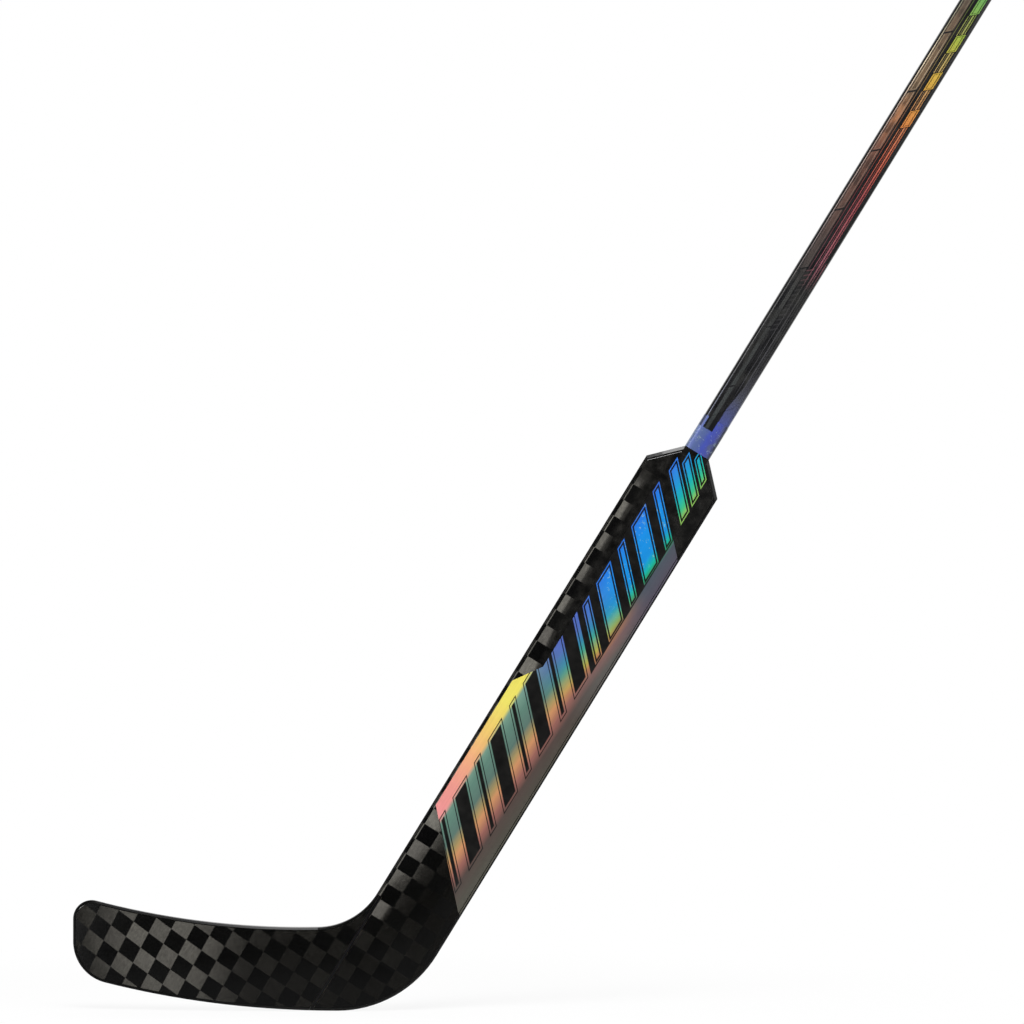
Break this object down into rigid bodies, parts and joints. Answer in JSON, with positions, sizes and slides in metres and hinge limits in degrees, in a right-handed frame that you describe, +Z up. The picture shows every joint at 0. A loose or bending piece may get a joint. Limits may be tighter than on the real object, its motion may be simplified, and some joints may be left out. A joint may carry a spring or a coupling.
{
  "type": "hockey goalie stick",
  "caption": "Composite hockey goalie stick with a curved blade, a wide crowned paddle, a slim hollow shaft and a push-in end plug.",
  "frame": {"origin": "where the lowest point of the sole touches the ice, in the middle of the blade's thickness at the heel", "axes": "+Z up from the ice with the stick in its playing lie, +X from the toe towards the heel, +Y from the pictured front face to the back"},
  "size_m": [1.1336, 0.0301, 1.3407],
  "materials": {
    "carbon_weave": "spread-tow carbon checker under clear coat",
    "edge_band": "black unidirectional laminate, clear coat",
    "seam_strip": "narrow carbon joint strip, clear coat",
    "foam_core": "rigid closed-cell foam",
    "tenon": "pressed laminate",
    "shaft_laminate": "black laminate, clear coat",
    "paddle_print": "iridescent foil with black overprint",
    "shaft_print": "black print with iridescent pinstripes",
    "band_foil": "iridescent blue foil",
    "plug_rubber": "matt moulded"
  },
  "bodies": {
    "stick": {"blade_rim": "edge_band", "blade_front_skin": "carbon_weave", "blade_back_skin": "carbon_weave", "blade_core": "foam_core", "heel_tenon": "tenon", "heel_seam_front": "seam_strip", "heel_seam_back": "seam_strip", "paddle_front_skin": "carbon_weave", "paddle_back_skin": "carbon_weave", "paddle_lower_core": "foam_core", "paddle_inner_core": "foam_core", "paddle_outer_core": "foam_core", "paddle_inner_rail": "edge_band", "paddle_outer_rail": "edge_band", "inner_shoulder_cap": "edge_band", "outer_shoulder_cap": "edge_band", "paddle_foil": "paddle_print", "shaft_tenon": "tenon", "shaft_tube": "shaft_laminate", "shaft_foot_band": "band_foil", "shaft_foil": "shaft_print"},
    "plug": {"end_plug": "plug_rubber"}
  },
  "joints": [
    {"name": "plug_slide", "type": "slide", "parent": "stick", "child": "plug", "axis": [0.524, 0, 0.8517], "range_m": [0, 0.055]}
  ]
}
